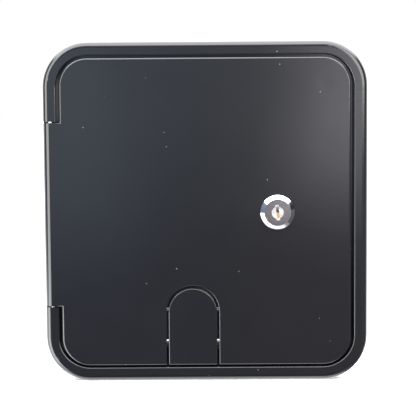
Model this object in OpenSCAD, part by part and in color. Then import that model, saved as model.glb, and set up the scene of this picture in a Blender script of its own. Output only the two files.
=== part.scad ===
// Power cord hatch for a caravan or camper wall.
// A square frame screws to the wall, and a key-locked lid swings on two pins at its left side.
// A small arched flap at the bottom of the lid lets the cord out while the lid is locked.
// Each piece is drawn lying down: x to the right, y up the wall, z out of the wall towards
// the viewer. stand_up() then turns it into the row frame, where z is up and the front is -y.

/* [Frame] */
// Width of the frame over its rim
frame_w = 190; // [176:1:260]
// Height of the frame over its rim
frame_h = 200; // [186:1:280]
// Corner radius of the frame
frame_r = 26.5; // [25:0.5:40]
// How far the rim stands out from the wall
rim_t = 12; // [11:0.5:16]
// Width of the raised rim, from its outer edge to the recess
rim_w = 8.2; // [7.5:0.1:12]
// Radius of the rim's rounded outer shoulder
shoulder_r = 3.6; // [2:0.1:4]
// Radius of the rim's inner edge
rim_edge_r = 0.8; // [0.3:0.1:1.2]
// Wall of the hollow rim
rim_wall = 2; // [1.5:0.1:2.4]
// Distance between the cross ribs in the hollow rim
rib_step = 55; // [40:1:60]
// Thickness of the ledge that lies on the wall
ledge_t = 3; // [2:0.1:3.4]
// Width of the screw gutter between the rim and the sealing lip
gutter_w = 11.8; // [11.4:0.1:14]
// Thickness of the neck that passes through the wall
neck_t = 2.5; // [2:0.1:3]
// How far the neck reaches behind the wall's face
neck_depth = 25; // [18:1:60]
// How far the sealing lip stands out from the wall's face
lip_t = 6; // [5:0.1:6.6]

/* [Screws] */
// Diameter of the screw holes
screw_hole_d = 4.2; // [3:0.1:5]
// Diameter of the countersink for the screw heads
screw_head_d = 7; // [5:0.1:7.4]

/* [Seal] */
// Width of the rubber seal
seal_w = 4; // [3:0.1:4.5]
// Gap left between the seal and the back of the lid
seal_gap = 0.2; // [0.1:0.05:0.5]

/* [Lid] */
// How far the lid's face stands out beyond the rim
lid_proud = 1; // [0:0.1:2]
// Thickness of the lid's panel
lid_t = 2.5; // [2:0.1:3]
// Thickness of the lid's skirt
skirt_t = 2.2; // [1.6:0.1:2.4]
// Gap between the skirt and the ledge behind it
skirt_gap = 1.2; // [0.6:0.1:2]
// Radius of the lid's front edge
lid_edge_r = 1.2; // [0.5:0.1:1.5]
// Seam between the lid and the rim at the two sides
seam_side = 1.8; // [1.2:0.1:2.5]
// Seam between the lid and the rim at the top and bottom
seam_end = 1.3; // [1:0.1:2]

/* [Hinge] */
// Length of the hinge leaf
leaf_len = 108; // [80:1:115]
// Height of the leaf's middle above the middle of the frame
leaf_mid = -1; // [-5:0.5:5]
// Radius of the hinge barrel
barrel_r = 4.6; // [4:0.1:4.8]
// Gap between each end of the leaf and the rim
leaf_gap = 0.6; // [0.3:0.1:1.5]
// Diameter of the hinge pins
pin_d = 2.5; // [2:0.1:3]
// Length of each hinge pin inside the barrel
pin_in_barrel = 12; // [8:1:20]
// Length of the solid block of rim that holds each hinge pin
pin_block = 12; // [8:1:14]
// Running clearance around a pin
pin_play = 0.05; // [0.03:0.01:0.08]
// Space beyond a hinge pin's end in the barrel
pin_end_gap = 0.5; // [0.3:0.1:1]
// Clearance of a pin in the hole that grips it
grip_play = 0.02; // [0.01:0.01:0.03]

/* [Cord flap] */
// Width of the arched opening in the lid
arch_w = 31; // [24:0.5:40]
// Height of the opening, from the lid's bottom edge to the top of the arch
arch_h = 47.3; // [42:0.5:60]
// Distance of the opening's middle to the left of the lid's middle
arch_left = 8; // [0:0.5:20]
// Seam around the flap's sides
flap_gap = 1.2; // [0.8:0.1:1.6]
// Extra seam above the flap, where it swings inwards
flap_top_extra = 0.5; // [0.4:0.1:1]
// Diameter of the flap's pin
flap_pin_d = 2; // [1.6:0.1:2.4]
// Distance of the flap's pin behind the panel's back
flap_pin_back = 1.9; // [1.7:0.1:2.2]
// Wall of the knuckles around the flap's pin
knuckle_wall = 1.2; // [1:0.1:1.5]
// Length of each knuckle
knuckle_len = 5; // [3:0.5:7]
// Distance of each knuckle from the flap's side
knuckle_in = 2; // [1:0.5:3]
// Thickness of the rib around the opening
arch_rib_t = 2; // [1.5:0.1:3]
// Distance of the rib from the edge of the opening
arch_rib_set = 1.8; // [1.6:0.1:2.5]
// Depth of the rib around the opening
arch_rib_h = 4; // [3.6:0.1:4.4]
// How far the stop strips reach behind the flap's opening
stop_w = 2.4; // [2:0.1:3]
// Thickness of the stop strips and of the flap's flange
stop_t = 1.2; // [0.8:0.1:1.4]
// Gap between the flap and its stop strips, and between its flange and the lid
stop_gap = 0.15; // [0.1:0.05:0.2]
// How far the flap's flange reaches behind the lid around the arch
flange_lap = 1.4; // [1:0.1:1.4]
// Distance of the flange's foot from the edge of the flap's panel
flange_foot_in = 1.5; // [1:0.1:2.5]
// Clearance between the flange and the bosses that hold the flap's pin
boss_room = 0.2; // [0.15:0.05:0.4]

/* [Lock] */
// Distance of the lock's axis from the lid's right edge
lock_in = 43; // [41:0.5:47]
// Diameter of the lock's bezel at the lid
bezel_d = 20; // [18:0.5:24]
// Height of the bezel's straight foot
bezel_foot = 0.6; // [0.3:0.1:1.2]
// Diameter of the bezel's front rim
bezel_front_d = 15.6; // [15.4:0.1:17]
// How far the bezel stands out from the lid
bezel_t = 3; // [2.4:0.1:4]
// Diameter of the threaded body
body_d = 16; // [15.4:0.1:17]
// Distance across the body's two flats
body_flats = 14; // [13.4:0.1:15]
// Clearance of the body in the lid's hole
body_play = 0.15; // [0.1:0.05:0.3]
// Length of the body behind the lid's face
body_len = 20; // [18:0.5:24]
// Thickness of the raised boss that the lock is clamped against
boss_t = 1.5; // [1:0.1:2]
// Radius of that boss
boss_r = 13; // [12.5:0.5:15]
// Diameter of the cylinder that the key turns
plug_d = 12; // [10:0.1:12.4]
// Thickness of the cylinder's wider head
plug_head_t = 1; // [0.6:0.1:1.5]
// Diameter of the bright face cap
cap_d = 14; // [13:0.1:14.2]
// Thickness of the face cap
cap_t = 0.5; // [0.4:0.1:0.8]
// Depth of the face cap behind the bezel's front rim
cap_recess = 0.3; // [0.2:0.1:0.6]
// Diameter of the round opening in the face cap
cap_hole_d = 7; // [6:0.1:8]
// Width of the two notches above and below that opening
cap_notch_w = 2.2; // [2:0.1:3]
// Height over both notches
cap_notch_h = 9; // [8.5:0.1:10]
// Width of the key slot
key_slot_w = 1.5; // [1.2:0.1:2]
// Height of the key slot
key_slot_h = 6.8; // [6:0.1:8]
// Depth of the key slot
key_slot_depth = 12; // [10:0.5:14]
// Turn of the key slot to the left of upright
key_tilt = 6; // [0:1:10]
// Depth of the brass shutter below the front of the cylinder
shutter_in = 0.8; // [0.5:0.1:2]
// Thickness of the brass shutter
shutter_t = 0.8; // [0.5:0.1:1.5]
// Clearance between turning lock pieces
lock_play = 0.08; // [0.05:0.01:0.12]
// Distance across the flats of the nut
nut_flats = 22; // [20:0.5:26]
// Thickness of the nut
nut_t = 4; // [3:0.5:5]
// Thickness of the washer under the nut
washer_t = 1; // [0.8:0.1:1.5]
// Length of the cam from the lock's axis to its tip
cam_len = 28; // [26:0.5:28]
// Width of the cam's arm
cam_w = 12; // [10:0.5:14]
// Radius of the cam's round end at the lock
cam_hub_r = 8; // [7.5:0.5:9]
// Thickness of the cam
cam_t = 2.5; // [2:0.1:3]
// Gap between the lock's body and the cam
cam_gap = 0.1; // [0.1:0.1:0.3]
// Side of the square tail that turns the cam
tail_side = 6; // [5:0.1:7]
// Clearance of the tail in the cam
tail_play = 0.05; // [0.02:0.01:0.1]
// Diameter of the cam's screw
cam_screw_d = 4; // [3:0.5:4.5]
// Length of that screw in the tail
cam_screw_len = 7; // [5:0.5:8]
// Diameter of its head
cam_screw_head_d = 9; // [8:0.5:10]
// Thickness of its head
cam_screw_head_t = 2; // [1.5:0.1:3]
// Length of the arms of its cross recess
recess_len = 5; // [4:0.1:6]
// Width of the arms of its cross recess
recess_w = 1; // [0.8:0.1:1.2]
// Depth of its cross recess
recess_t = 1.2; // [0.8:0.1:1.4]
// Gap between the cam and the keeper behind which it turns
keeper_gap = 0.6; // [0.4:0.1:1]
// How far the cam's tip overlaps the keeper
keeper_overlap = 4; // [3:0.5:5]
// Length of the keeper along the neck
keeper_len = 30; // [24:1:40]
// Thickness of the keeper at its edge
keeper_t = 3; // [2:0.5:4]

/* [Hidden] */
$fn = 96;
black = "#202225";
over = 1;

lid_front = rim_t + lid_proud;
lid_back = lid_front - lid_t;
lid_w = frame_w - 2 * (rim_w + seam_side);
lid_h = frame_h - 2 * (rim_w + seam_end);
lid_r = frame_r - rim_w - seam_side;
skirt_back = ledge_t + skirt_gap;
border_w = 10;
border_lap = 3;
lip_out = rim_w + gutter_w;
neck_w = frame_w - 2 * lip_out;
neck_h = frame_h - 2 * lip_out;
screw_in = (rim_w + seam_side + skirt_t + lip_out) / 2;

axis_x = -frame_w / 2 + barrel_r;
axis_z = lid_front - barrel_r;
leaf_top = leaf_mid + leaf_len / 2;
leaf_low = leaf_mid - leaf_len / 2;

arch_r = arch_w / 2;
arch_x = -arch_left;
arch_spring = -lid_h / 2 + arch_h - arch_r;
flap_r = arch_r - flap_gap;
flap_spring = arch_spring - flap_top_extra;
flap_axis_z = lid_back - flap_pin_back;
knuckle_r = flap_pin_d / 2 + pin_play + knuckle_wall;
seal_in = lip_out + neck_t / 2 - seal_w / 2;
rib_seal_gap = 1.2;
rib_foot = -frame_h / 2 + seal_in + seal_w + rib_seal_gap;
pin_boss_r = flap_pin_back - stop_gap;
pin_proud = 0.5;
flap_pin_len = 2 * (arch_r + arch_rib_set + arch_rib_t + pin_proud);
stop_back = lid_back - stop_gap - stop_t;
flange_low = arch_spring + pin_boss_r + boss_room;
flap_border = 6;

lock_x = lid_w / 2 - lock_in;
bezel_front = lid_front + bezel_t;
cap_front = bezel_front - cap_recess;
cap_back = cap_front - cap_t;
body_back = lid_front - body_len;
boss_back = lid_back - boss_t;
cam_front = body_back - cam_gap;
cam_back = cam_front - cam_t;
head_play = 0.2;
thread_play = 0.1;
keeper_back = cam_front + keeper_gap;
keeper_x = lock_x + cam_len - keeper_overlap;

// Turns a piece from its drawing position into the row frame.
module stand_up() {
    rotate([90, 0, 0]) children();
}

module rounded_rect(w, h, r) {
    square([w - 2 * r, h], center = true);
    square([w, h - 2 * r], center = true);
    for (sx = [-1, 1], sy = [-1, 1]) {
        translate([sx * (w / 2 - r), sy * (h / 2 - r)]) circle(r);
    }
}

module rounded_slab(w, h, r, from, to) {
    translate([0, 0, from]) linear_extrude(to - from) rounded_rect(w, h, r);
}

// Runs a profile around a rounded rectangle. In the profile, x is the distance in from the
// outer edge and y is the height above the wall.
module around(w, h, r) {
    for (i = [0:3]) {
        reach = (i % 2 == 0) ? w / 2 : h / 2;
        run = ((i % 2 == 0) ? h : w) - 2 * r;
        rotate([0, 0, 90 * i]) {
            translate([reach, run / 2, 0])
                rotate([90, 0, 0])
                    linear_extrude(run) mirror([1, 0]) children();
        }
        cx = (i == 0 || i == 3) ? w / 2 - r : r - w / 2;
        cy = (i < 2) ? h / 2 - r : r - h / 2;
        translate([cx, cy, 0])
            rotate([0, 0, 90 * i])
                rotate_extrude(angle = 90) translate([r, 0]) mirror([1, 0]) children();
    }
}

module frame_profile() {
    shoulder_z = rim_t - shoulder_r;
    square([rim_w, shoulder_z]);
    translate([shoulder_r, shoulder_z]) circle(shoulder_r);
    translate([shoulder_r, 0]) square([rim_w - rim_edge_r - shoulder_r, rim_t]);
    translate([rim_w - rim_edge_r, rim_t - rim_edge_r]) circle(rim_edge_r);
    translate([shoulder_r, 0]) square([rim_w - shoulder_r, rim_t - rim_edge_r]);
    square([lip_out + neck_t, ledge_t]);
    translate([lip_out, -neck_depth]) square([neck_t, neck_depth + lip_t]);
}

// The rim is hollow from behind, with cross ribs in the hollow.
module rim_hollow() {
    difference() {
        around(frame_w, frame_h, frame_r)
            translate([rim_wall, -over]) square([rim_w - 2 * rim_wall, rim_t - rim_wall + over]);
        // solid ends beside the hinge and the floor under its leaf
        translate([-frame_w / 2 - over, leaf_low - leaf_gap - pin_block, -2 * over])
            cube([rim_w + 2 * over, leaf_len + 2 * (leaf_gap + pin_block), rim_t + 2 * over]);
        for (i = [-1, 0, 1]) {
            translate([frame_w / 2, i * rib_step, 0])
                cube([frame_w, rim_wall, 4 * rim_t], center = true);
            translate([i * rib_step, 0, 0])
                cube([rim_wall, 2 * frame_h, 4 * rim_t], center = true);
        }
    }
}

// Screw places: four at the corners and one in the middle of each side.
function screw_places() = let (
    cx = frame_w / 2 - frame_r,
    cy = frame_h / 2 - frame_r,
    d = (frame_r - screw_in) / sqrt(2)
) [
    for (sx = [-1, 1], sy = [-1, 1]) [sx * (cx + d), sy * (cy + d)],
    for (s = [-1, 1]) [s * (frame_w / 2 - screw_in), 0],
    for (s = [-1, 1]) [0, s * (frame_h / 2 - screw_in)]
];

module frame() {
    color(black) stand_up() difference() {
        union() {
            around(frame_w, frame_h, frame_r) frame_profile();
            keeper();
        }
        rim_hollow();
        // the rim is left out where the hinge leaf lies
        translate([-frame_w / 2 - over, leaf_low - leaf_gap, ledge_t])
            cube([rim_w + 2 * over, leaf_len + 2 * leaf_gap, rim_t]);
        for (s = [-1, 1]) {
            translate([axis_x, leaf_mid + s * (leaf_len / 2 + leaf_gap + pin_block / 2), axis_z])
                rotate([90, 0, 0])
                    cylinder(h = pin_block + 2 * over, r = pin_d / 2 + grip_play, center = true);
        }
        for (p = screw_places()) {
            translate([p[0], p[1], -over]) cylinder(h = ledge_t + 2 * over, d = screw_hole_d);
            translate([p[0], p[1], ledge_t - (screw_head_d - screw_hole_d) / 2])
                cylinder(
                    h = (screw_head_d - screw_hole_d) / 2 + 0.01,
                    d1 = screw_hole_d,
                    d2 = screw_head_d + 0.02
                );
        }
    }
}

// The lug inside the neck that the lock's cam turns behind.
module keeper() {
    wall_x = neck_w / 2 - neck_t / 2;
    depth = wall_x - keeper_x;
    translate([0, keeper_len / 2, 0])
        rotate([90, 0, 0])
            linear_extrude(keeper_len)
                polygon([
                    [wall_x, keeper_back],
                    [keeper_x, keeper_back],
                    [keeper_x, keeper_back + keeper_t],
                    [wall_x, keeper_back + keeper_t + depth]
                ]);
}

module lid_seal() {
    base_h = lid_back - seal_gap - lip_t - seal_w / 2;
    color("#151515") stand_up()
        around(frame_w, frame_h, frame_r) {
            translate([seal_in, lip_t]) square([seal_w, base_h]);
            translate([seal_in + seal_w / 2, lip_t + base_h]) circle(seal_w / 2);
        }
}

module hinge_pin(s) {
    from = leaf_len / 2 - pin_in_barrel;
    run = pin_in_barrel + leaf_gap + pin_block;
    color("silver") stand_up()
        translate([axis_x, leaf_mid + s * (from + run / 2), axis_z])
            rotate([90, 0, 0]) cylinder(h = run, d = pin_d, center = true);
}

module lid_profile(width) {
    translate([lid_edge_r, lid_back]) square([width - lid_edge_r, lid_t]);
    translate([0, skirt_back]) square([skirt_t, lid_front - lid_edge_r - skirt_back]);
    translate([lid_edge_r, lid_front - lid_edge_r]) circle(lid_edge_r);
}

module arch(r, spring, foot) {
    translate([arch_x, spring]) circle(r);
    translate([arch_x - r, foot]) square([2 * r, spring - foot]);
}

module lock_section(play) {
    intersection() {
        circle(d = body_d + 2 * play);
        square([body_flats + 2 * play, body_d + 2 * over], center = true);
    }
}

// The leaf and barrel in section, seen along the hinge.
module leaf_section() {
    circle(barrel_r);
    translate([0, barrel_r - lid_t])
        square([seam_side + rim_w - barrel_r + border_w / 2, lid_t]);
}

// The panel with its skirt, leaf, boss and rib, and the arched opening cut through it.
module lid_panel() {
    difference() {
        union() {
            around(lid_w, lid_h, lid_r) lid_profile(border_w);
            rounded_slab(
                lid_w - 2 * (border_w - border_lap),
                lid_h - 2 * (border_w - border_lap),
                lid_r - border_w + border_lap,
                lid_back, lid_front
            );
            translate([axis_x, leaf_top, axis_z])
                rotate([90, 0, 0]) linear_extrude(leaf_len) leaf_section();
            translate([lock_x, 0, boss_back]) cylinder(h = boss_t + lid_t / 2, r = boss_r);
            arch_rib();
            flap_stops(arch_r - over, lid_back + lid_t / 2);
        }
        translate([0, 0, -over]) linear_extrude(lid_front + 2 * over)
            arch(arch_r, arch_spring, -frame_h / 2);
    }
}

module lid() {
    color(black) stand_up() difference() {
        union() {
            lid_panel();
            flap_stops(arch_r - stop_w, lid_back - stop_gap);
            pin_bosses();
        }
        for (s = [-1, 1]) {
            translate([axis_x, leaf_mid + s * leaf_len / 2, axis_z])
                rotate([90, 0, 0]) cylinder(
                    h = 2 * (pin_in_barrel + pin_end_gap),
                    r = pin_d / 2 + pin_play,
                    center = true
                );
        }
        translate([lock_x, 0, 0]) linear_extrude(lid_front + over) lock_section(body_play);
        translate([arch_x, arch_spring, flap_axis_z])
            rotate([0, 90, 0])
                cylinder(h = flap_pin_len + 2 * over, r = flap_pin_d / 2 + grip_play, center = true);
    }
}

// The rib around the opening, which the flap's pin passes through.
module arch_rib() {
    inner = arch_r + arch_rib_set;
    translate([0, 0, lid_back - arch_rib_h]) linear_extrude(arch_rib_h + lid_t / 2) difference() {
        arch(inner + arch_rib_t, arch_spring, rib_foot);
        arch(inner, arch_spring, rib_foot - over);
    }
}

// Two strips below the flap's pin, from the rib to x_in and z_top. They keep the flap from
// swinging inwards and close the seam at its sides.
module flap_stops(x_in, z_top) {
    strip_w = arch_r + arch_rib_set + arch_rib_t / 2 - x_in;
    strip_mid = [x_in + strip_w / 2, (rib_foot + arch_spring) / 2, (stop_back + z_top) / 2];
    for (s = [-1, 1]) {
        translate([arch_x + s * strip_mid[0], strip_mid[1], strip_mid[2]])
            cube([strip_w, arch_spring - rib_foot, z_top - stop_back], center = true);
    }
}

// Round bosses at the tops of the stop strips, which hold the flap's pin beside its knuckles.
module pin_bosses() {
    boss_len = stop_w + arch_rib_set + arch_rib_t / 2;
    for (s = [-1, 1]) {
        translate([arch_x + s * (arch_r - stop_w + boss_len / 2), arch_spring, flap_axis_z])
            rotate([0, 90, 0]) cylinder(h = boss_len, r = pin_boss_r, center = true);
    }
}

module lock_housing() {
    color("silver") stand_up() translate([lock_x, 0, 0]) difference() {
        union() {
            translate([0, 0, lid_front]) cylinder(h = bezel_foot, d = bezel_d);
            translate([0, 0, lid_front + bezel_foot])
                cylinder(h = bezel_t - bezel_foot, d1 = bezel_d, d2 = bezel_front_d);
            translate([0, 0, body_back]) linear_extrude(body_len) lock_section(0);
        }
        translate([0, 0, body_back - over])
            cylinder(h = body_len + bezel_t + 2 * over, d = plug_d + 2 * lock_play);
        translate([0, 0, cap_back - plug_head_t - lock_play])
            cylinder(h = bezel_t + over, d = cap_d + 2 * lock_play);
    }
}

module lock_washer() {
    color("silver") stand_up() translate([lock_x, 0, boss_back - washer_t]) difference() {
        cylinder(h = washer_t, r = nut_flats / 2);
        translate([0, 0, -over]) cylinder(h = washer_t + 2 * over, d = body_d + 2 * body_play);
    }
}

module lock_nut() {
    color("silver") stand_up() translate([lock_x, 0, boss_back - washer_t - nut_t]) difference() {
        cylinder(h = nut_t, d = nut_flats / cos(30), $fn = 6);
        translate([0, 0, -over]) cylinder(h = nut_t + 2 * over, d = body_d + thread_play);
    }
}

module flap_pin() {
    color("silver") stand_up() translate([arch_x, arch_spring, flap_axis_z])
        rotate([0, 90, 0]) cylinder(h = flap_pin_len, d = flap_pin_d, center = true);
}

module cord_flap() {
    foot = -lid_h / 2;
    color(black) stand_up() difference() {
        union() {
            translate([0, 0, lid_back]) linear_extrude(lid_t)
                arch(flap_r, flap_spring, foot + flap_border - 0.01);
            translate([arch_x - flap_r, foot, 0])
                rotate([90, 0, 90]) linear_extrude(2 * flap_r) lid_profile(flap_border);
            for (s = [-1, 1]) {
                knuckle_x = flap_r - knuckle_in - knuckle_len / 2;
                translate([arch_x + s * knuckle_x, arch_spring, flap_axis_z])
                    rotate([0, 90, 0]) cylinder(h = knuckle_len, r = knuckle_r, center = true);
            }
            flap_flange();
        }
        translate([arch_x, arch_spring, flap_axis_z])
            rotate([0, 90, 0])
                cylinder(h = arch_w, r = flap_pin_d / 2 + pin_play, center = true);
    }
}

// A thin half disc behind the flap's round top, which closes the seam around it. It moves
// away from the lid as the flap opens.
module flap_flange() {
    intersection() {
        union() {
            translate([arch_x, arch_spring, stop_back]) cylinder(h = stop_t, r = arch_r + flange_lap);
            translate([arch_x, flap_spring, stop_back])
                cylinder(h = stop_t + stop_gap + lid_t / 2, r = flap_r - flange_foot_in);
        }
        translate([arch_x - arch_w, flange_low, 0]) cube([2 * arch_w, arch_w, lid_front]);
    }
}

// A block along the key slot, from low to high along its height.
module slot_block(from, to, width, low, high) {
    rotate([0, 0, key_tilt])
        translate([-width / 2, low, from]) cube([width, high - low, to - from]);
}

module lock_plug() {
    color("silver") stand_up() translate([lock_x, 0, 0]) difference() {
        union() {
            translate([0, 0, body_back]) cylinder(h = cap_back - body_back, d = plug_d);
            translate([0, 0, cap_back - plug_head_t]) cylinder(h = plug_head_t, d = cap_d - head_play);
            translate([-tail_side / 2, -tail_side / 2, cam_back + thread_play])
                cube([tail_side, tail_side, body_back - cam_back + over]);
        }
        slot_block(
            cap_back - key_slot_depth, cap_back + over,
            key_slot_w, -key_slot_h / 2, key_slot_h / 2
        );
        translate([0, 0, cam_back - over])
            cylinder(h = cam_screw_len + 2 * over, d = cam_screw_d + thread_play);
    }
}

module lock_face_cap() {
    color("gainsboro") stand_up() translate([lock_x, 0, cap_back]) difference() {
        cylinder(h = cap_t, d = cap_d);
        translate([0, 0, -over]) cylinder(h = cap_t + 2 * over, d = cap_hole_d);
        slot_block(-over, cap_t + over, cap_notch_w, -cap_notch_h / 2, cap_notch_h / 2);
    }
}

// The spring-loaded brass piece that fills the lower half of the slot.
module key_shutter() {
    shutter_front = cap_back - shutter_in;
    color("goldenrod") stand_up() translate([lock_x, 0, 0])
        slot_block(shutter_front - shutter_t, shutter_front, key_slot_w, -key_slot_h / 2, 0);
}

module lock_cam() {
    end_r = cam_w / 2;
    hole_side = tail_side + 2 * tail_play;
    color("silver") stand_up() translate([lock_x, 0, cam_back]) difference() {
        linear_extrude(cam_t) {
            circle(r = cam_hub_r);
            translate([-end_r, 0]) square([cam_w, cam_len - end_r]);
            translate([0, cam_len - end_r]) circle(end_r);
        }
        cube([hole_side, hole_side, 3 * cam_t], center = true);
    }
}

module cam_screw() {
    color("silver") stand_up() translate([lock_x, 0, 0]) difference() {
        union() {
            translate([0, 0, cam_back - cam_screw_head_t])
                cylinder(h = cam_screw_head_t, d = cam_screw_head_d);
            translate([0, 0, cam_back - over])
                cylinder(h = cam_screw_len + over, d = cam_screw_d);
        }
        // cross recess
        for (a = [0, 90]) {
            rotate([0, 0, a])
                translate([-recess_len / 2, -recess_w / 2, cam_back - cam_screw_head_t - over])
                    cube([recess_len, recess_w, recess_t + over]);
        }
    }
}

frame();
lid_seal();
hinge_pin(1);  // hinge_pin_upper
hinge_pin(-1);  // hinge_pin_lower
lid();
lock_housing();
lock_washer();
lock_nut();
flap_pin();
cord_flap();
lock_plug();
lock_face_cap();
key_shutter();
lock_cam();
cam_screw();
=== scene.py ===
# %% [markdown]
# # A cord hatch for a camper, dressed in Blender
# The hatch is a square black moulding that screws to the outside of a camper. Its lid swings on
# two pins at the left, a key turns the lock at the right, and a small arched flap at the bottom
# lets the power cord out while the lid is locked.
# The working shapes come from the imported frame. This script lays finished surfaces on them, so
# the frame is loaded first and nothing in it is moved.

# %% Load the frame
import math
import random

import bmesh
import bpy
from mathutils import Matrix, Vector


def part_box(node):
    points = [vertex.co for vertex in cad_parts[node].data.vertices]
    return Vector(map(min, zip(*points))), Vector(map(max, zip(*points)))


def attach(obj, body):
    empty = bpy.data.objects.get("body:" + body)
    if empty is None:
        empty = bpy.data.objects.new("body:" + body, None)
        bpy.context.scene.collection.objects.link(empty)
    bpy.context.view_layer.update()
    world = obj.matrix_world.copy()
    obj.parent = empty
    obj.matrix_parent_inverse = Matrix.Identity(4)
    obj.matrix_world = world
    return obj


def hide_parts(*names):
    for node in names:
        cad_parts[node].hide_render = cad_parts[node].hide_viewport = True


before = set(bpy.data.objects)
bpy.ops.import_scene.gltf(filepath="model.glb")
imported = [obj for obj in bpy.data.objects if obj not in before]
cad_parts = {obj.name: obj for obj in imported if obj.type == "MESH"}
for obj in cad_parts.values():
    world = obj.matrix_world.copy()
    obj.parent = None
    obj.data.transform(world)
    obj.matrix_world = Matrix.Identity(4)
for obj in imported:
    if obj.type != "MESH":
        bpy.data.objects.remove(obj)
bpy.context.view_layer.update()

scene = bpy.context.scene
print("nodes:", len(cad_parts))

# %% [markdown]
# ## Sizes
# Every size below is in millimetres, in the way the maker's drawing has it: x to the right, v out
# of the wall towards the viewer, and z up. Blender works in metres with y into the wall, so one
# small function turns a drawing point into a Blender point. The outer sizes are read from the
# frame, so that a piece made here fits the one it stands for.

# %% Drawing units
MM = 0.001


def at(x, v, z):
    """The Blender point of a drawing point."""
    return Vector((x * MM, -v * MM, z * MM))


def drawn_box(node):
    """Lowest and highest x, v and z of a node of the frame."""
    low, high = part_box(node)
    return (low.x / MM, -high.y / MM, low.z / MM), (high.x / MM, -low.y / MM, high.z / MM)


frame_low, frame_high = drawn_box("frame")
lid_low, lid_high = drawn_box("lid")
FRAME_W = frame_high[0] - frame_low[0]
FRAME_H = frame_high[2] - frame_low[2]
RIM_FRONT = frame_high[1]
NECK_BACK = frame_low[1]
LID_W = 2 * lid_high[0]
LID_H = lid_high[2] - lid_low[2]
LID_FRONT = lid_high[1]
print(f"frame {FRAME_W:.1f} x {FRAME_H:.1f}, lid {LID_W:.1f} x {LID_H:.1f}, front at {LID_FRONT:.1f}")

# %% [markdown]
# ## The camera
# The photograph was taken from a little above the middle of the lid, almost straight on, with
# the hatch turned less than half a degree in the picture. A long lens keeps the far corners
# square. The camera's own axes are worked out from the two viewing angles and a small roll.

# %% Camera
CAMERA_AZIMUTH = math.radians(0.24)
CAMERA_ELEVATION = math.radians(5.88)
CAMERA_ROLL = math.radians(-0.415)
CAMERA_DISTANCE = 1.0
CAMERA_LENS = 148
AIM_RIGHT = 1.32
AIM_UP = 2.66


def place_camera():
    back = Vector((
        math.sin(CAMERA_AZIMUTH) * math.cos(CAMERA_ELEVATION),
        -math.cos(CAMERA_AZIMUTH) * math.cos(CAMERA_ELEVATION),
        math.sin(CAMERA_ELEVATION),
    ))
    level = Vector((0, 0, 1)).cross(back).normalized()
    upright = back.cross(level)
    right = math.cos(CAMERA_ROLL) * level + math.sin(CAMERA_ROLL) * upright
    up = -math.sin(CAMERA_ROLL) * level + math.cos(CAMERA_ROLL) * upright
    aim = at(0, LID_FRONT, 0) + (AIM_RIGHT * right + AIM_UP * up) * MM
    camera = bpy.data.objects.new("camera", bpy.data.cameras.new("camera"))
    scene.collection.objects.link(camera)
    turn = Matrix((right, up, back)).transposed().to_4x4()
    camera.matrix_world = Matrix.Translation(aim + back * CAMERA_DISTANCE) @ turn
    camera.data.lens = CAMERA_LENS
    camera.data.sensor_width = 36
    camera.data.clip_start = 0.01
    scene.camera = camera
    return camera


camera = place_camera()
print("camera at", [round(c, 3) for c in camera.matrix_world.translation])

# %% [markdown]
# ## Small helpers for nodes
# Shader nodes are added by a few short functions: one writes a number or links a socket, and the
# others add a sum, a range or a blend of two colours. The rest of the script reads like a
# recipe because of them.

# %% Node helpers
def put(tree, value, socket):
    """Link a socket, or write a plain value into it."""
    if isinstance(value, bpy.types.NodeSocket):
        tree.links.new(value, socket)
    elif value is not None:
        socket.default_value = value


def add(tree, kind, settings=None, **inputs):
    """A new node with its settings, and its inputs by name (spaces as underscores)."""
    node = tree.nodes.new(kind)
    for key, value in (settings or {}).items():
        setattr(node, key, value)
    for key, value in inputs.items():
        put(tree, value, node.inputs[key.replace("_", " ")])
    return node


def calc(tree, operation, *values):
    node = add(tree, "ShaderNodeMath", {"operation": operation})
    for socket, value in zip(node.inputs, values):
        put(tree, value, socket)
    return node.outputs[0]


def ranged(tree, value, low, high, to_low=0.0, to_high=1.0, smooth=True):
    """The value's place between low and high, from 0 to 1, eased at both ends."""
    node = add(tree, "ShaderNodeMapRange", {"interpolation_type": "SMOOTHSTEP" if smooth else "LINEAR"})
    for socket, number in zip(node.inputs, (value, low, high, to_low, to_high)):
        put(tree, number, socket)
    return node.outputs[0]


def blended(tree, share, first, second):
    """Two colours mixed by a share."""
    node = add(tree, "ShaderNodeMix", {"data_type": "RGBA"})
    put(tree, share, node.inputs[0])
    put(tree, first, node.inputs[6])
    put(tree, second, node.inputs[7])
    return node.outputs[2]


def new_group(name, inputs, outputs):
    """A node group with number inputs (name: default) and outputs (name: kind)."""
    tree = bpy.data.node_groups.new(name, "ShaderNodeTree")
    for label, default in inputs.items():
        kind = "NodeSocketVector" if default is None else "NodeSocketFloat"
        socket = tree.interface.new_socket(label, in_out="INPUT", socket_type=kind)
        if default is not None:
            socket.default_value = default
    for label, kind in outputs.items():
        tree.interface.new_socket(label, in_out="OUTPUT", socket_type=kind)
    return tree, tree.nodes.new("NodeGroupInput").outputs, tree.nodes.new("NodeGroupOutput").inputs


# %% [markdown]
# ## The studio
# Glossy black plastic shows almost nothing but its surroundings, so the studio is half of the
# picture. In the photograph the lid mirrors a dim room around the camera, a soft window shines
# in its upper right corner, a tall panel to the left draws the bright lines along the hinge, and
# the rim's round shoulder catches a white ceiling. Each of these is a soft box in the sky: a
# patch of light with a direction, a size and a soft edge, from one shared node group.

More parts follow.
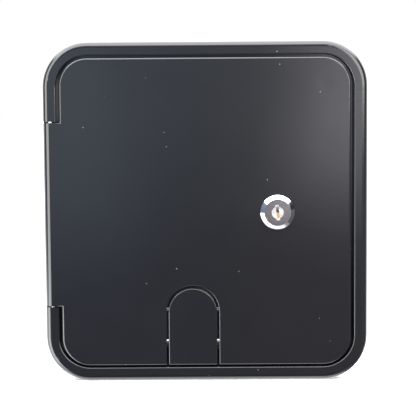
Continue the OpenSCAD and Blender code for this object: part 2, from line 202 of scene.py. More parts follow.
# %% A soft box for the sky
def soft_box_group():
    tree, given, out = new_group(
        "soft_box",
        {
            "Azimuth": 0.0, "Elevation": 0.0, "Middle": 0.0, "Height": 0.0,
            "Half Width": 10.0, "Half Height": 10.0, "Side Edge": 5.0, "End Edge": 5.0,
        },
        {"Mask": "NodeSocketFloat"},
    )
    turn = calc(tree, "ADD", calc(tree, "SUBTRACT", given["Azimuth"], given["Middle"]), 540.0)
    turn = calc(tree, "SUBTRACT", calc(tree, "FLOORED_MODULO", turn, 360.0), 180.0)
    across = calc(tree, "ABSOLUTE", turn)
    along = calc(tree, "ABSOLUTE", calc(tree, "SUBTRACT", given["Elevation"], given["Height"]))
    sides = ranged(tree, across, calc(tree, "ADD", given["Half Width"], given["Side Edge"]), given["Half Width"])
    ends = ranged(tree, along, calc(tree, "ADD", given["Half Height"], given["End Edge"]), given["Half Height"])
    put(tree, calc(tree, "MULTIPLY", sides, ends), out["Mask"])
    return tree


soft_box = soft_box_group()
print("soft box inputs:", [s.name for s in soft_box.interface.items_tree if s.in_out == "INPUT"])

# %% The sky
# Middle azimuth and elevation, half sizes and edges in degrees, then the colour times brightness.
# Azimuth 0 is towards the camera and grows to the right. "dims" boxes take light away first.
ROOM_LIGHT = (0.95, 0.97, 1.0)
DIMMED = {
    "dim room behind the camera": (0, -16, 15, 30, 5, 8, 0.97),
    "dim panel at the far left": (-82, 14, 13, 19, 4, 3, 0.8),
    "dim room to the right": (52, -12, 34, 30, 8, 8, 0.72),
    "dim corner at the right": (96, 26, 16, 18, 6, 8, 0.85),
}
BOXES = {
    "white ceiling": (0, 90, 180, 48, 1, 12, (8.6, 8.7, 9.0)),
    "tall panel at the left": (-43, 0, 16, 34, 5, 10, (7.6, 7.6, 7.5)),
    "white table at the lower left": (-92, -36, 46, 26, 12, 3, (4.6, 4.8, 5.2)),
    "blue shade at the far left": (-82, 14, 13, 19, 4, 3, (0.10, 0.16, 0.34)),
    "window at the right": (30, 14, 14, 15, 8, 3, (8.4, 8.2, 8.0)),
    "white backdrop": (180, 0, 78, 26, 10, 12, (4.4, 4.4, 4.4)),
    "white table below": (0, -90, 180, 24, 1, 12, (3.0, 3.0, 3.1)),
    "haze above the lens": (0, 3, 16, 4, 3, 8, (0.36, 0.42, 0.47)),
    "window's glow in the lid": (7.4, 1.5, 2.2, 4.2, 3.4, 4.6, (2.9, 2.75, 2.9)),
    "glow at the left": (-7, -1, 2.2, 4, 3.0, 4.5, (0.42, 0.5, 0.62)),
    "brown wall at the right": (10, -10, 8, 12, 2.5, 5, (0.12, 0.08, 0.08)),
    "blue wall at the left": (-8, -12, 6, 14, 3, 6, (0.03, 0.05, 0.12)),
}


def make_sky():
    world = bpy.data.worlds.new("soft_studio")
    world.use_nodes = True
    scene.world = world
    tree = world.node_tree
    tree.nodes.clear()
    toward = add(tree, "ShaderNodeTexCoord").outputs["Generated"]
    axes = add(tree, "ShaderNodeSeparateXYZ", Vector=toward).outputs
    azimuth = calc(tree, "DEGREES", calc(tree, "ARCTAN2", axes["X"], calc(tree, "MULTIPLY", axes["Y"], -1.0)))
    elevation = calc(tree, "DEGREES", calc(tree, "ARCSINE", axes["Z"]))

    def mask(middle, height, half_w, half_h, side, end):
        node = add(tree, "ShaderNodeGroup", {"node_tree": soft_box}, Azimuth=azimuth, Elevation=elevation)
        names = ("Middle", "Height", "Half Width", "Half Height", "Side Edge", "End Edge")
        for name, value in zip(names, (middle, height, half_w, half_h, side, end)):
            node.inputs[name].default_value = value
        return node.outputs["Mask"]

    left = 1.0
    for *shape, share in DIMMED.values():
        left = calc(tree, "MULTIPLY", left, calc(tree, "MULTIPLY_ADD", mask(*shape), -share, 1.0))
    light = add(tree, "ShaderNodeVectorMath", {"operation": "SCALE"}, Vector=ROOM_LIGHT, Scale=left).outputs[0]
    for *shape, colour in BOXES.values():
        node = add(tree, "ShaderNodeVectorMath", {"operation": "MULTIPLY_ADD"})
        for socket, value in zip(node.inputs, (mask(*shape), colour, light)):
            put(tree, value, socket)
        light = node.outputs[0]
    rays = add(tree, "ShaderNodeLightPath").outputs
    strength = ranged(tree, rays["Is Diffuse Ray"], 0.0, 1.0, 1.0, DIFFUSE_SHARE, smooth=False)
    studio = add(tree, "ShaderNodeBackground", Color=light, Strength=strength).outputs[0]
    paper = add(tree, "ShaderNodeBackground", Color=(1, 1, 1, 1), Strength=1.0).outputs[0]
    both = add(tree, "ShaderNodeMixShader", Fac=rays["Is Camera Ray"])
    tree.links.new(studio, both.inputs[1])
    tree.links.new(paper, both.inputs[2])
    add(tree, "ShaderNodeOutputWorld", Surface=both.outputs[0])


DIFFUSE_SHARE = 0.5
make_sky()
print("sky boxes:", ", ".join(BOXES))

# %% [markdown]
# ## The floor
# The hatch stands upright on white paper. The paper is pure white in the picture except for a
# thin soft shadow where the rim meets it, so it glows a little of its own and leaves only the
# darkest part of the shadow. From below it is see-through, and the lid doesn't mirror it, since
# the sky's tables already do that.

# %% Floor
FLOOR_GAP = 0.1
FLOOR_SIZE = 6.0


def make_floor():
    mesh = bpy.data.meshes.new("paper_floor")
    half = FLOOR_SIZE / 2
    level = (frame_low[2] - FLOOR_GAP) * MM
    corners = [(-half, -half, level), (half, -half, level), (half, half, level), (-half, half, level)]
    mesh.from_pydata(corners, [], [(0, 1, 2, 3)])
    floor = bpy.data.objects.new("paper_floor", mesh)
    scene.collection.objects.link(floor)
    material = bpy.data.materials.new("white_paper")
    material.use_nodes = True
    tree = material.node_tree
    tree.nodes.clear()
    grain = add(tree, "ShaderNodeTexNoise", Scale=400.0, Detail=3.0).outputs[0]
    tone = ranged(tree, grain, 0.3, 0.7, 0.90, 0.93)
    matt = add(tree, "ShaderNodeBsdfDiffuse", Color=tone).outputs[0]
    glow = add(tree, "ShaderNodeEmission", Color=(1, 1, 1, 1), Strength=0.12).outputs[0]
    paper = add(tree, "ShaderNodeAddShader")
    tree.links.new(matt, paper.inputs[0])
    tree.links.new(glow, paper.inputs[1])
    behind = add(tree, "ShaderNodeNewGeometry").outputs["Backfacing"]
    sides = add(tree, "ShaderNodeMixShader", Fac=behind)
    tree.links.new(paper.outputs[0], sides.inputs[1])
    tree.links.new(add(tree, "ShaderNodeBsdfTransparent").outputs[0], sides.inputs[2])
    add(tree, "ShaderNodeOutputMaterial", Surface=sides.outputs[0])
    mesh.materials.append(material)
    floor.visible_glossy = False
    floor.visible_diffuse = False
    return floor


floor = make_floor()
scene.view_settings.view_transform = "Standard"
print("floor at", round(floor.data.vertices[0].co.z, 4))

# %% [markdown]
# ## Finishes
# Moulded plastic is never perfectly even. It has a very slow waviness where it shrank on its
# ribs, hair-thin handling marks that only show in a reflection, and a few specks of dust. These
# three effects are node groups, so the gloss of the outside and the duller inside can share
# them with different strengths.

# %% Shared finish groups
def moulded_group():
    """Roughness and height of a moulded surface: slow waves, fine grain and handling marks."""
    tree, given, out = new_group(
        "moulded_surface",
        {"Point": None, "Roughness": 0.12, "Unevenness": 0.03, "Wave": 0.2, "Grain": 0.0, "Marks": 0.02},
        {"Roughness": "NodeSocketFloat", "Height": "NodeSocketFloat"},
    )
    slow = add(tree, "ShaderNodeTexNoise", Vector=given["Point"], Scale=28.0, Detail=2.0).outputs[0]
    wave = calc(tree, "MULTIPLY", calc(tree, "SUBTRACT", slow, 0.5), given["Wave"])
    fine = add(tree, "ShaderNodeTexNoise", Vector=given["Point"], Scale=2600.0, Detail=2.0).outputs[0]
    grain = calc(tree, "MULTIPLY", calc(tree, "SUBTRACT", fine, 0.5), given["Grain"])
    marks = 0.0
    for tilt, seed in ((0.5, 0.0), (-0.9, 3.0)):
        turned = add(
            tree, "ShaderNodeMapping", Vector=given["Point"],
            Location=(seed, 0, 0), Rotation=(0, tilt, 0), Scale=(40, 300, 1800),
        ).outputs[0]
        lines = add(tree, "ShaderNodeTexNoise", Vector=turned, Scale=1.0, Detail=1.0).outputs[0]
        marks = calc(tree, "ADD", marks, ranged(tree, lines, 0.66, 0.72))
    patch = add(tree, "ShaderNodeTexNoise", Vector=given["Point"], Scale=45.0, Detail=3.0).outputs[0]
    uneven = calc(tree, "MULTIPLY", calc(tree, "SUBTRACT", patch, 0.5), given["Unevenness"])
    worn = calc(tree, "MULTIPLY", calc(tree, "MULTIPLY", marks, given["Marks"]), 2.0)
    rough = calc(tree, "ADD", calc(tree, "ADD", given["Roughness"], uneven), worn)
    put(tree, rough, out["Roughness"])
    height = calc(tree, "SUBTRACT", calc(tree, "ADD", wave, grain), calc(tree, "MULTIPLY", marks, given["Marks"]))
    put(tree, height, out["Height"])
    return tree


def dust_group():
    """A mask of small round specks, thinly spread."""
    tree, given, out = new_group(
        "dust_specks",
        {"Point": None, "Spacing": 6.0, "Size": 0.3, "Share": 0.3},
        {"Mask": "NodeSocketFloat"},
    )
    cells = add(tree, "ShaderNodeTexVoronoi", Vector=given["Point"])
    put(tree, calc(tree, "DIVIDE", 1000.0, given["Spacing"]), cells.inputs["Scale"])
    size = calc(tree, "DIVIDE", given["Size"], given["Spacing"])
    near = ranged(tree, cells.outputs["Distance"], size, calc(tree, "MULTIPLY", size, 0.5))
    pick = add(tree, "ShaderNodeSeparateColor", Color=cells.outputs["Color"]).outputs[0]
    put(tree, calc(tree, "MULTIPLY", near, calc(tree, "LESS_THAN", pick, given["Share"])), out["Mask"])
    return tree


def turned_group():
    """Fine rings around an axis along y, as a lathe or a grinding wheel leaves them."""
    tree, given, out = new_group(
        "turned_rings",
        {"Point": None, "Centre X": 0.0, "Centre Z": 0.0, "Ring Step": 0.1, "Depth": 0.01},
        {"Height": "NodeSocketFloat", "Shade": "NodeSocketFloat"},
    )
    axes = add(tree, "ShaderNodeSeparateXYZ", Vector=given["Point"]).outputs
    dx = calc(tree, "SUBTRACT", axes["X"], given["Centre X"])
    dz = calc(tree, "SUBTRACT", axes["Z"], given["Centre Z"])
    square = calc(tree, "ADD", calc(tree, "MULTIPLY", dx, dx), calc(tree, "MULTIPLY", dz, dz))
    radius = calc(tree, "SQRT", square)
    place = add(tree, "ShaderNodeCombineXYZ", X=radius, Y=calc(tree, "MULTIPLY", axes["Y"], 1.0)).outputs[0]
    scale = calc(tree, "DIVIDE", 1000.0, given["Ring Step"])
    rings = add(tree, "ShaderNodeTexNoise", Vector=place, Scale=scale, Detail=1.0).outputs[0]
    put(tree, calc(tree, "MULTIPLY", rings, given["Depth"]), out["Height"])
    put(tree, rings, out["Shade"])
    return tree


moulded_surface = moulded_group()
dust_specks = dust_group()
turned_rings = turned_group()
print("finish groups:", [g.name for g in bpy.data.node_groups])

# %% [markdown]
# ## The materials
# The record names seven finishes. Each gets one function that builds its nodes: the plastics
# and the rubber from the moulded surface group, and the metals from the turned rings. A value
# that is the same all over a surface is written on the shader itself.

# %% Materials
def start_material(name, **plain):
    """A material with a shader whose plain values are set, and the object's own coordinates."""
    material = bpy.data.materials.new(name)
    material.use_nodes = True
    tree = material.node_tree
    shader = tree.nodes["Principled BSDF"]
    for key, value in plain.items():
        shader.inputs[key.replace("_", " ")].default_value = value
    point = add(tree, "ShaderNodeTexCoord").outputs["Object"]
    return material, tree, shader, point


def bumped(tree, shader, height, distance, strength=1.0):
    node = add(tree, "ShaderNodeBump", Height=height, Distance=distance, Strength=strength)
    put(tree, node.outputs[0], shader.inputs["Normal"])


def make_plastic(name, colour, surface, dust=0.3, ior=1.5):
    material, tree, shader, point = start_material(name, IOR=ior)
    skin = add(tree, "ShaderNodeGroup", {"node_tree": moulded_surface}, Point=point, **surface)
    specks = add(tree, "ShaderNodeGroup", {"node_tree": dust_specks}, Point=point, Share=dust)
    mottle = add(tree, "ShaderNodeTexNoise", Vector=point, Scale=60.0, Detail=3.0).outputs[0]
    lighter = tuple(1.25 * c for c in colour)
    body = blended(tree, mottle, (*colour, 1), (*lighter, 1))
    put(tree, blended(tree, specks.outputs[0], body, (*DUST_COLOUR, 1)), shader.inputs["Base Color"])
    rough = calc(tree, "MAXIMUM", skin.outputs["Roughness"], calc(tree, "MULTIPLY", specks.outputs[0], 0.6))
    put(tree, rough, shader.inputs["Roughness"])
    bumped(tree, shader, skin.outputs["Height"], 0.1 * MM)
    return material


def make_metal(name, colour, roughness, ring_step, depth, centre=(0.0, 0.0), shade=0.1):
    material, tree, shader, point = start_material(name, Metallic=1.0)
    rings = add(
        tree, "ShaderNodeGroup", {"node_tree": turned_rings}, Point=point,
        Centre_X=centre[0] * MM, Centre_Z=centre[1] * MM, Ring_Step=ring_step, Depth=depth,
    )
    darker = tuple((1 - shade) * c for c in colour)
    cloud = add(tree, "ShaderNodeTexNoise", Vector=point, Scale=350.0, Detail=3.0).outputs[0]
    tone = calc(tree, "MULTIPLY", calc(tree, "ADD", cloud, rings.outputs["Shade"]), 0.5)
    put(tree, blended(tree, tone, (*darker, 1), (*colour, 1)), shader.inputs["Base Color"])
    put(tree, ranged(tree, cloud, 0.3, 0.7, 0.85 * roughness, 1.2 * roughness), shader.inputs["Roughness"])
    bumped(tree, shader, rings.outputs["Height"], 0.1 * MM)
    return material


DUST_COLOUR = (0.35, 0.34, 0.32)
lock_low, lock_high = drawn_box("lock_face_cap")
LOCK_X = (lock_low[0] + lock_high[0]) / 2
LOCK_AXIS = (LOCK_X, 0.0)

gloss_black = make_plastic(
    "gloss_black", (0.0072, 0.0076, 0.0088),
    {"Roughness": 0.1, "Unevenness": 0.05, "Wave": 0.25, "Marks": 0.012},
)
inside_black = make_plastic(
    "inside_black", (0.012, 0.0122, 0.0128),
    {"Roughness": 0.38, "Unevenness": 0.12, "Wave": 0.3, "Grain": 0.12, "Marks": 0.01}, dust=0.1,
)
seal_rubber = make_plastic(
    "seal_rubber", (0.012, 0.012, 0.012),
    {"Roughness": 0.62, "Unevenness": 0.15, "Wave": 0.6, "Grain": 0.25, "Marks": 0.0}, dust=0.5, ior=1.52,
)
bright_chrome = make_metal("bright_chrome", (0.8, 0.8, 0.81), 0.05, 0.35, 0.004, LOCK_AXIS, shade=0.03)
satin_nickel = make_metal("satin_nickel", (0.8, 0.79, 0.77), 0.3, 0.12, 0.05, LOCK_AXIS, shade=0.12)
zinc_steel = make_metal("zinc_steel", (0.62, 0.63, 0.63), 0.32, 0.18, 0.06, LOCK_AXIS, shade=0.3)
pin_steel = make_metal("pin_steel", (0.6, 0.6, 0.6), 0.22, 0.1, 0.03, shade=0.15)
key_brass = make_metal("key_brass", (0.72, 0.47, 0.16), 0.3, 0.1, 0.05, LOCK_AXIS, shade=0.35)
print("materials:", [m.name for m in bpy.data.materials if m.users])

# %% [markdown]
# ## Shapes
# Almost every piece is one of three kinds: a profile that runs around a rounded square, a
# profile turned about an axis, or a flat outline given a thickness. All three are rings of
# points joined by faces, so one function makes the surface and small ones make the rings.
# Solids are then joined and cut with booleans, as a toolmaker adds and cuts steel.

# %% Rings and lofts
def ring_mesh(rings, closed=False):
    """A surface over rings of drawing points. A closed one joins its last ring to its first."""
    mesh = bmesh.new()
    loops = [[mesh.verts.new(at(*point)) for point in ring] for ring in rings]
    pairs = list(zip(loops, loops[1:]))
    if closed:
        pairs.append((loops[-1], loops[0]))
    for one, two in pairs:
        for i in range(len(one)):
            j = (i + 1) % len(one)
            mesh.faces.new((one[i], one[j], two[j], two[i]))
    if not closed:
        mesh.faces.new(loops[0])
        mesh.faces.new(loops[-1])
    bmesh.ops.recalc_face_normals(mesh, faces=mesh.faces)
    return mesh


def rounded_rect(width, height, radius, steps=24):
    """Points of a rounded rectangle with their outward directions, anticlockwise."""
    points = []
    for corner, (sx, sz) in enumerate(((1, 1), (-1, 1), (-1, -1), (1, -1))):
        for i in range(steps + 1):
            angle = math.radians(90 * (corner + i / steps))
            out = (math.cos(angle), math.sin(angle))
            x = sx * (width / 2 - radius) + radius * out[0]
            z = sz * (height / 2 - radius) + radius * out[1]
            points.append((x, z, out))
    return points


def around(outline, profile):
    """One ring for each profile point (distance in from the edge, v)."""
    return [[(x - d * out[0], v, z - d * out[1]) for x, z, out in outline] for d, v in profile]


def arc(middle, radius, first, last, steps):
    """Points of an arc in a profile, from one angle to another in degrees."""
    angles = [math.radians(first + (last - first) * i / steps) for i in range(steps + 1)]
    return [(middle[0] + radius * math.cos(a), middle[1] + radius * math.sin(a)) for a in angles]


def turned(axis, profile, steps=96):
    """One ring for each profile point (radius, v) about an axis at (x, z)."""
    rings = []
    for radius, v in profile:
        turn = [2 * math.pi * i / steps for i in range(steps)]
        rings.append([(axis[0] + radius * math.cos(a), v, axis[1] + radius * math.sin(a)) for a in turn])
    return rings


def slab(outline, low, high):
    """A flat outline of (x, z) points from one depth v to another."""
    return ring_mesh([[(x, v, z) for x, z in outline] for v in (low, high)])


def block(x, v, z):
    """A box from its ranges of x, v and z."""
    return slab([(x[0], z[0]), (x[1], z[0]), (x[1], z[1]), (x[0], z[1])], *v)


def rod(start, end, radius, steps=48):
    """A round rod between two drawing points, for bores and pins."""
    first, last = at(*start), at(*end)
    mesh = bmesh.new()
    bmesh.ops.create_cone(
        mesh, cap_ends=True, segments=steps, radius1=radius * MM, radius2=radius * MM,
        depth=(last - first).length,
    )
    turn = (last - first).to_track_quat("Z", "Y").to_matrix().to_4x4()
    bmesh.ops.transform(mesh, matrix=Matrix.Translation((first + last) / 2) @ turn, verts=mesh.verts)
    return mesh


print("a rounded square has", len(rounded_rect(10, 10, 2)), "points")

# %% Objects, booleans and edges
def as_object(name, mesh):
    """An object from a finished bmesh."""
    data = bpy.data.meshes.new(name)
    mesh.to_mesh(data)
    mesh.free()
    made = bpy.data.objects.new(name, data)
    scene.collection.objects.link(made)
    return made


def settle(made):
    """Make an object's modifiers part of its mesh."""
    view = bpy.context.evaluated_depsgraph_get()
    made.data = bpy.data.meshes.new_from_object(made.evaluated_get(view))
    made.modifiers.clear()


def joined(made, operation, *solids):
    """The object after adding (UNION) or cutting (DIFFERENCE) each solid."""
    for solid in solids:
        tool = as_object("tool", solid)
        step = made.modifiers.new("step", "BOOLEAN")
        step.operation = operation
        step.solver = "EXACT"
        step.object = tool
        settle(made)
        bpy.data.objects.remove(tool)
    return made


def soften(made, width, angle=40, segments=2):
    """Round the sharp edges a little, as a worn tool leaves them."""
    step = made.modifiers.new("soften", "BEVEL")
    step.width = width * MM
    step.segments = segments
    step.limit_method = "ANGLE"
    step.angle_limit = math.radians(angle)
    step.use_clamp_overlap = True
    settle(made)


def smooth(made, angle=38):
    """Smooth shading with sharp edges kept, and flat faces left flat."""
    made.data.polygons.foreach_set("use_smooth", [True] * len(made.data.polygons))
    made.data.set_sharp_from_angle(angle=math.radians(angle))
    step = made.modifiers.new("flat faces stay flat", "WEIGHTED_NORMAL")
    step.keep_sharp = True
    settle(made)


def dress(made, body, slot, *materials):
    """Give a piece its materials and its body. The slot argument is not used."""
    made.data.materials.clear()
    for material in materials:
        made.data.materials.append(material)
    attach(made, body)
    print(f"{made.name}: {len(made.data.vertices)} points, {len(made.data.polygons)} faces")


print("helpers ready")

# %% [markdown]
# ## The lid
# The lid is one moulding: a panel 2.5 mm thick, a skirt around it, a leaf and barrel at the
# left, a boss for the lock and a rib around the cord opening. A lid this size comes out of its
# mould very slightly domed, and that shows in every reflection. The panel is therefore cut into
# a fine grid, raised by a smooth dome with shallow sink marks, and given the dome's exact
# directions as its normals, because a coarse grid alone would show as facets.

# %% Lid sizes
PANEL_T = 2.5
PANEL_BACK = LID_FRONT - PANEL_T
EDGE_R = 1.2
SKIRT_T = 2.2
LID_R = 16.5
BARREL_R = 4.6
BARREL_X = -FRAME_W / 2 + BARREL_R
BARREL_V = LID_FRONT - BARREL_R
LEAF_LOW = -55.0
LEAF_HIGH = 53.0
LEDGE_T = 3.0
SKIRT_BACK = LEDGE_T + 1.2
OPENING_X = -8.0
OPENING_R = 15.5
OPENING_TOP = -LID_H / 2 + 47.3
OPENING_SPRING = OPENING_TOP - OPENING_R
print(f"barrel axis at x {BARREL_X:.1f}, v {BARREL_V:.1f}; arch springs at z {OPENING_SPRING:.1f}")

# %% The dome of the lid
DOME = 0.35
SINK_MARKS = {
    (-70.5, 75.8): 0.010, (69.5, 75.0): 0.010, (71.5, -73.5): 0.008,
    (-14.0, 78.5): 0.007, (-0.5, 77.5): 0.007, (-76.0, -14.0): 0.006, (22.0, 8.0): 0.006,
}
SINK_SPREAD = 3.2
WAVES = ((0.006, 0.9, 0.35, 0.4), (0.005, -0.3, 1.1, 1.7), (0.003, 1.6, 1.3, 0.2))


def dome_height(x, z):
    """How far the lid's face stands out from a flat one."""
    u, w = 2 * x / LID_W, 2 * z / LID_H
    if abs(u) >= 1 or abs(w) >= 1:
        return 0.0
    fade = (1 - u * u) * (1 - w * w)
    height = DOME * fade
    for size, across, up, start in WAVES:
        height += size * fade * math.sin(2 * math.pi * (across * u + up * w) + start)
    for (mark_x, mark_z), depth in SINK_MARKS.items():
        away = ((x - mark_x) ** 2 + (z - mark_z) ** 2) / SINK_SPREAD ** 2
        height -= depth * math.exp(-away)
    return height


def dome_normal(x, z):
    step = 0.05
    slope_x = (dome_height(x + step, z) - dome_height(x - step, z)) / (2 * step)
    slope_z = (dome_height(x, z + step) - dome_height(x, z - step)) / (2 * step)
    return Vector((-slope_x, -1, -slope_z)).normalized()


print(f"the lid's face stands out by up to {max(dome_height(x, 0) for x in range(-80, 80)):.2f} mm")

# %% [markdown]
# The grid is made by slicing the front faces with upright and level planes. The slices follow
# the curved border by themselves, which a grid laid on beforehand would not.

# %% Grid, dome and normals
GRID_STEP = 2.5


def front_geometry(mesh, flat_from):
    faces = [f for f in mesh.faces if -f.normal.y > 0.9999 and f.calc_center_median().x > flat_from * MM]
    faces = [f for f in faces if -f.calc_center_median().y > (LID_FRONT - 0.01) * MM]
    edges = {e for f in faces for e in f.edges}
    points = {v for f in faces for v in f.verts}
    return [*faces, *edges, *points]


def raise_dome(made, flat_from):
    """Slice the front into a grid and raise it by the dome."""
    mesh = bmesh.new()
    mesh.from_mesh(made.data)
    geometry = front_geometry(mesh, flat_from)
    for axis, half in (((1, 0, 0), LID_W / 2), ((0, 0, 1), LID_H / 2)):
        count = int(2 * half / GRID_STEP)
        for i in range(1, count):
            place = Vector(axis) * (-half + 2 * half * i / count) * MM
            cut = bmesh.ops.bisect_plane(mesh, geom=geometry, dist=1e-8, plane_co=place, plane_no=axis)
            geometry = cut["geom"]
    for v in mesh.verts:
        x, depth, z = v.co.x / MM, -v.co.y / MM, v.co.z / MM
        share = (depth - PANEL_BACK) / PANEL_T
        if share > 0.01 and x > flat_from:
            v.co.y -= dome_height(x, z) * share * MM
    mesh.to_mesh(made.data)
    mesh.free()


def set_dome_normals(made, flat_from):
    """The dome's exact directions on the front, and the smoothed ones elsewhere."""
    mesh = made.data
    normals = [Vector(n.vector) for n in mesh.corner_normals]
    for face in mesh.polygons:
        centre = face.center
        if -face.normal.y > 0.999 and -centre.y > (LID_FRONT - 0.02) * MM and centre.x > flat_from * MM:
            for corner in face.loop_indices:
                point = mesh.vertices[mesh.loops[corner].vertex_index].co
                normals[corner] = dome_normal(point.x / MM, point.z / MM)
    mesh.normals_split_custom_set(normals)


def sort_inside(made):
    """Faces that look into the wall or lie behind the front take the second material."""
    for face in made.data.polygons:
        behind = -face.center.y < (PANEL_BACK + 0.3) * MM and abs(face.center.x) < (LID_W / 2 - 0.4) * MM
        behind = behind and abs(face.center.z) < (LID_H / 2 - 0.4) * MM
        if face.normal.y > 0.5 or behind:
            face.material_index = 1


print("grid cells:", int(LID_W / GRID_STEP), "x", int(LID_H / GRID_STEP))

# %% The lid's solids
def lid_border():
    """The edge's profile, from the panel's back, round the skirt, to the front."""
    round_edge = [(EDGE_R - c, v) for c, v in arc((0, LID_FRONT - EDGE_R), EDGE_R, 0, 90, 6)]
    lip = 0.4
    foot = [(SKIRT_T, SKIRT_BACK + lip), (SKIRT_T - lip, SKIRT_BACK), (lip, SKIRT_BACK), (0, SKIRT_BACK + lip)]
    return [(SKIRT_T, PANEL_BACK), *foot, *round_edge]


def leaf_and_barrel():
    """The leaf's section, swept up the hinge with rounded ends."""
    under = math.degrees(math.asin((BARREL_R - PANEL_T) / BARREL_R))
    tail = 9.0
    section = [(BARREL_X + tail, LID_FRONT - 0.01), (BARREL_X + tail - 1, LID_FRONT)]
    section += arc((BARREL_X, BARREL_V), BARREL_R, 90, 360 + under, 40)
    section += [(BARREL_X + tail, PANEL_BACK)]
    rings = []
    for z, inset in ((LEAF_LOW, 0.5), (LEAF_LOW + 0.15, 0.15), (LEAF_LOW + 0.5, 0), (LEAF_HIGH - 0.5, 0),
                     (LEAF_HIGH - 0.15, 0.15), (LEAF_HIGH, 0.5)):
        ring = []
        for x, v in section:
            away = math.hypot(x - BARREL_X, v - BARREL_V)
            pull = inset / away if x <= BARREL_X else 0
            deeper = inset if x > BARREL_X and v > PANEL_BACK + 1 else 0
            ring.append((x + (BARREL_X - x) * pull, v + (BARREL_V - v) * pull - deeper, z))
        rings.append(ring)
    return ring_mesh(rings)


def arch_outline(radius, spring, foot, steps=48):
    """The arch's outline as (x, z), from its left foot round to its right foot."""
    top = [(OPENING_X + x, z) for x, z in arc((0, spring), radius, 180, 0, steps)]
    return [(OPENING_X - radius, foot), *top, (OPENING_X + radius, foot)]


RIB_SET = 1.8
RIB_T = 2.0
RIB_DEPTH = 4.0
RIB_FOOT = -75.55
STOP_W = 2.4
STOP_T = 1.2
PLAY = 0.15
PIN_V = PANEL_BACK - 1.9
BOSS_R = 13.0
BOSS_T = 1.5
BODY_R = 8.0
BODY_FLAT = 7.0


def arch_rib():
    inner = OPENING_R + RIB_SET
    outer = arch_outline(inner + RIB_T, OPENING_SPRING, RIB_FOOT)
    hollow = arch_outline(inner, OPENING_SPRING, RIB_FOOT)
    return slab([*outer, *reversed(hollow)], PANEL_BACK - RIB_DEPTH, PANEL_BACK + 0.5)


def lock_hole(play):
    """The round hole with two flats that keeps the lock from turning."""
    outline = arc((0, 0), BODY_R + play, 0, 360, 96)[:-1]
    flat = BODY_FLAT + play
    return [(LOCK_X + max(-flat, min(flat, x)), z) for x, z in outline]


def opening_edge(mesh):
    """Edges where the arched cut meets the outside of the lid."""
    chosen = []
    for edge in mesh.edges:
        if len(edge.link_faces) != 2 or edge.calc_face_angle(0) < math.radians(30):
            continue
        near = True
        for v in edge.verts:
            x, depth, z = v.co.x / MM - OPENING_X, -v.co.y / MM, v.co.z / MM
            away = math.hypot(x, z - OPENING_SPRING) if z > OPENING_SPRING else abs(x)
            outside = depth > LID_FRONT - EDGE_R - 0.01 or z < -LID_H / 2 + 0.01
            near = near and abs(away - OPENING_R) < 0.01 and outside
        if near:
            chosen.append(edge)
    return chosen


def round_opening(made, width):
    mesh = bmesh.new()
    mesh.from_mesh(made.data)
    chosen = opening_edge(mesh)
    bmesh.ops.bevel(
        mesh, geom=chosen, offset=width * MM, offset_type="OFFSET", segments=3, profile=0.5,
        affect="EDGES", clamp_overlap=False,
    )
    mesh.to_mesh(made.data)
    mesh.free()
    return len(chosen)


def make_lid():
    outline = rounded_rect(LID_W, LID_H, LID_R)
    lid = as_object("lid_moulding", ring_mesh(around(outline, lid_border())))
    joined(lid, "UNION", leaf_and_barrel())
    opening = slab(arch_outline(OPENING_R, OPENING_SPRING, -FRAME_H / 2), -1, LID_FRONT + 1)
    joined(lid, "DIFFERENCE", opening)
    print("opening edges rounded:", round_opening(lid, 0.45))
    joined(lid, "UNION", arch_rib())
    boss = ring_mesh(turned(LOCK_AXIS, [(BOSS_R, PANEL_BACK - BOSS_T), (BOSS_R + 0.4, PANEL_BACK + 0.5)], 72))
    joined(lid, "UNION", boss)
    side = (OPENING_R - STOP_W, OPENING_R + RIB_SET + RIB_T / 2)
    for s in (-1, 1):
        reach = sorted(OPENING_X + s * r for r in side)
        strip = block(reach, (PANEL_BACK - PLAY - STOP_T, PANEL_BACK - PLAY), (RIB_FOOT, OPENING_SPRING))
        post = sorted(OPENING_X + s * r for r in (OPENING_R + 0.3, side[1]))
        root = block(post, (PANEL_BACK - PLAY - STOP_T, PANEL_BACK + 0.5), (RIB_FOOT, OPENING_SPRING))
        pin_boss = rod((reach[0], PIN_V, OPENING_SPRING), (reach[1], PIN_V, OPENING_SPRING), PIN_V - PIN_V + 1.75)
        joined(lid, "UNION", root, strip, pin_boss)
    joined(lid, "DIFFERENCE", slab(lock_hole(0.15), 0, LID_FRONT + 1))
    return lid


lid = make_lid()
print("lid before its dome:", len(lid.data.vertices), "points")

# %% Finish the lid
FLAT_FROM = -LID_W / 2 + EDGE_R - 0.05
raise_dome(lid, FLAT_FROM)
smooth(lid)
set_dome_normals(lid, FLAT_FROM)
sort_inside(lid)
dress(lid, "lid", "black_plastic", gloss_black, inside_black)
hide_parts("lid")

# %% [markdown]
# ## The cord flap
# The flap fills the arch with a narrow seam around it. It carries the same dome and the same
# skirt as the lid, so the two read as one face when it is shut. A half disc behind its round
# top closes the seam, and two knuckles carry it on its pin.

# %% Flap
FLAP_R = OPENING_R - 1.2
FLAP_SPRING = OPENING_SPRING - 0.5
KNUCKLE_R = 2.25
KNUCKLE_LEN = 5.0
KNUCKLE_IN = 2.0
FLANGE_R = OPENING_R + 1.4
FLANGE_LOW = OPENING_SPRING + 1.75 + 0.2


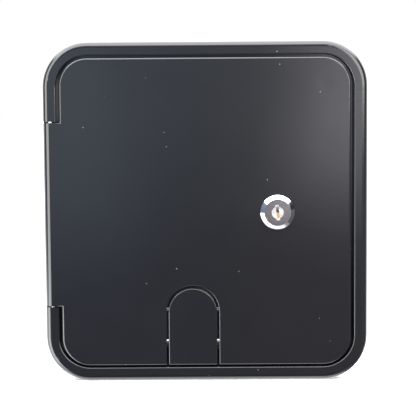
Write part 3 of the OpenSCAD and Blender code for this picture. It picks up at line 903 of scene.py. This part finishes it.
def make_flap():
    top = slab(arch_outline(FLAP_R, FLAP_SPRING, -LID_H / 2 + 6), PANEL_BACK, LID_FRONT)
    flap = as_object("flap_moulding", top)
    round_edge = [(EDGE_R - c, v) for c, v in arc((0, LID_FRONT - EDGE_R), EDGE_R, 0, 90, 6)]
    profile = [(6.2, LID_FRONT), (6.2, PANEL_BACK), (SKIRT_T, PANEL_BACK), (SKIRT_T, SKIRT_BACK), (0, SKIRT_BACK)]
    profile += round_edge
    sides = (OPENING_X - FLAP_R, OPENING_X + FLAP_R)
    foot = ring_mesh([[(x, v, -LID_H / 2 + d) for d, v in profile] for x in sides])
    joined(flap, "UNION", foot)
    mesh = bmesh.new()
    mesh.from_mesh(flap.data)
    bmesh.ops.dissolve_limit(mesh, angle_limit=math.radians(0.5), verts=mesh.verts, edges=mesh.edges)
    chosen = []
    for edge in mesh.edges:
        if len(edge.link_faces) != 2 or edge.calc_face_angle(0) < math.radians(30):
            continue
        rim = all(-v.co.y > (LID_FRONT - EDGE_R - 0.01) * MM or v.co.z < (0.01 - LID_H / 2) * MM for v in edge.verts)
        if rim and not any(v.co.z < (0.01 - LID_H / 2) * MM and -v.co.y < (SKIRT_BACK + 0.01) * MM for v in edge.verts):
            chosen.append(edge)
    print("flap edges rounded:", len(chosen))
    bmesh.ops.bevel(
        mesh, geom=chosen, offset=0.5 * MM, offset_type="OFFSET", segments=3, profile=0.5,
        affect="EDGES", clamp_overlap=False,
    )
    mesh.to_mesh(flap.data)
    mesh.free()
    disc = [(OPENING_X + x, z) for x, z in arc((0, OPENING_SPRING), FLANGE_R, 0, 360, 96)[:-1] if z > FLANGE_LOW]
    half = math.sqrt(FLANGE_R ** 2 - (FLANGE_LOW - OPENING_SPRING) ** 2)
    disc = [(OPENING_X + half, FLANGE_LOW), *disc, (OPENING_X - half, FLANGE_LOW)]
    hub = [(OPENING_X + x, z) for x, z in arc((0, FLAP_SPRING), FLAP_R - 1.5, 0, 180, 48) if z > FLANGE_LOW]
    back = PANEL_BACK - PLAY - STOP_T
    joined(flap, "UNION", slab(hub, back, PANEL_BACK + 0.5), slab(disc, back, back + STOP_T))
    for s in (-1, 1):
        ends = sorted(OPENING_X + s * (FLAP_R - KNUCKLE_IN - k) for k in (0, KNUCKLE_LEN))
        knuckle = rod((ends[0], PIN_V, OPENING_SPRING), (ends[1], PIN_V, OPENING_SPRING), KNUCKLE_R)
        joined(flap, "UNION", knuckle)
    bore = rod((OPENING_X - 20, PIN_V, OPENING_SPRING), (OPENING_X + 20, PIN_V, OPENING_SPRING), 1.05)
    return joined(flap, "DIFFERENCE", bore)


flap = make_flap()
raise_dome(flap, FLAT_FROM)
smooth(flap)
set_dome_normals(flap, FLAT_FROM)
sort_inside(flap)
dress(flap, "cord_flap", "black_plastic", gloss_black, inside_black)
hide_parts("cord_flap")

# %% [markdown]
# ## Pieces that keep the frame's own shape
# The frame's rim, the seal, the pins and the lock's small parts are already right in shape, so
# they stay and only take a finish.

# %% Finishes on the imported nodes
KEPT = {
    "frame": gloss_black,
    "lid_seal": seal_rubber,
    "hinge_pin_upper": pin_steel,
    "hinge_pin_lower": pin_steel,
    "flap_pin": pin_steel,
    "lock_washer": zinc_steel,
    "lock_nut": zinc_steel,
    "lock_cam": zinc_steel,
    "cam_screw": zinc_steel,
    "lock_plug": satin_nickel,
    "key_shutter": key_brass,
    "lock_housing": bright_chrome,
    "lock_face_cap": bright_chrome,
}
for node, material in KEPT.items():
    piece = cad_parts[node]
    for slot in piece.material_slots:
        slot.material = material
print("nodes with a finish:", len(KEPT))
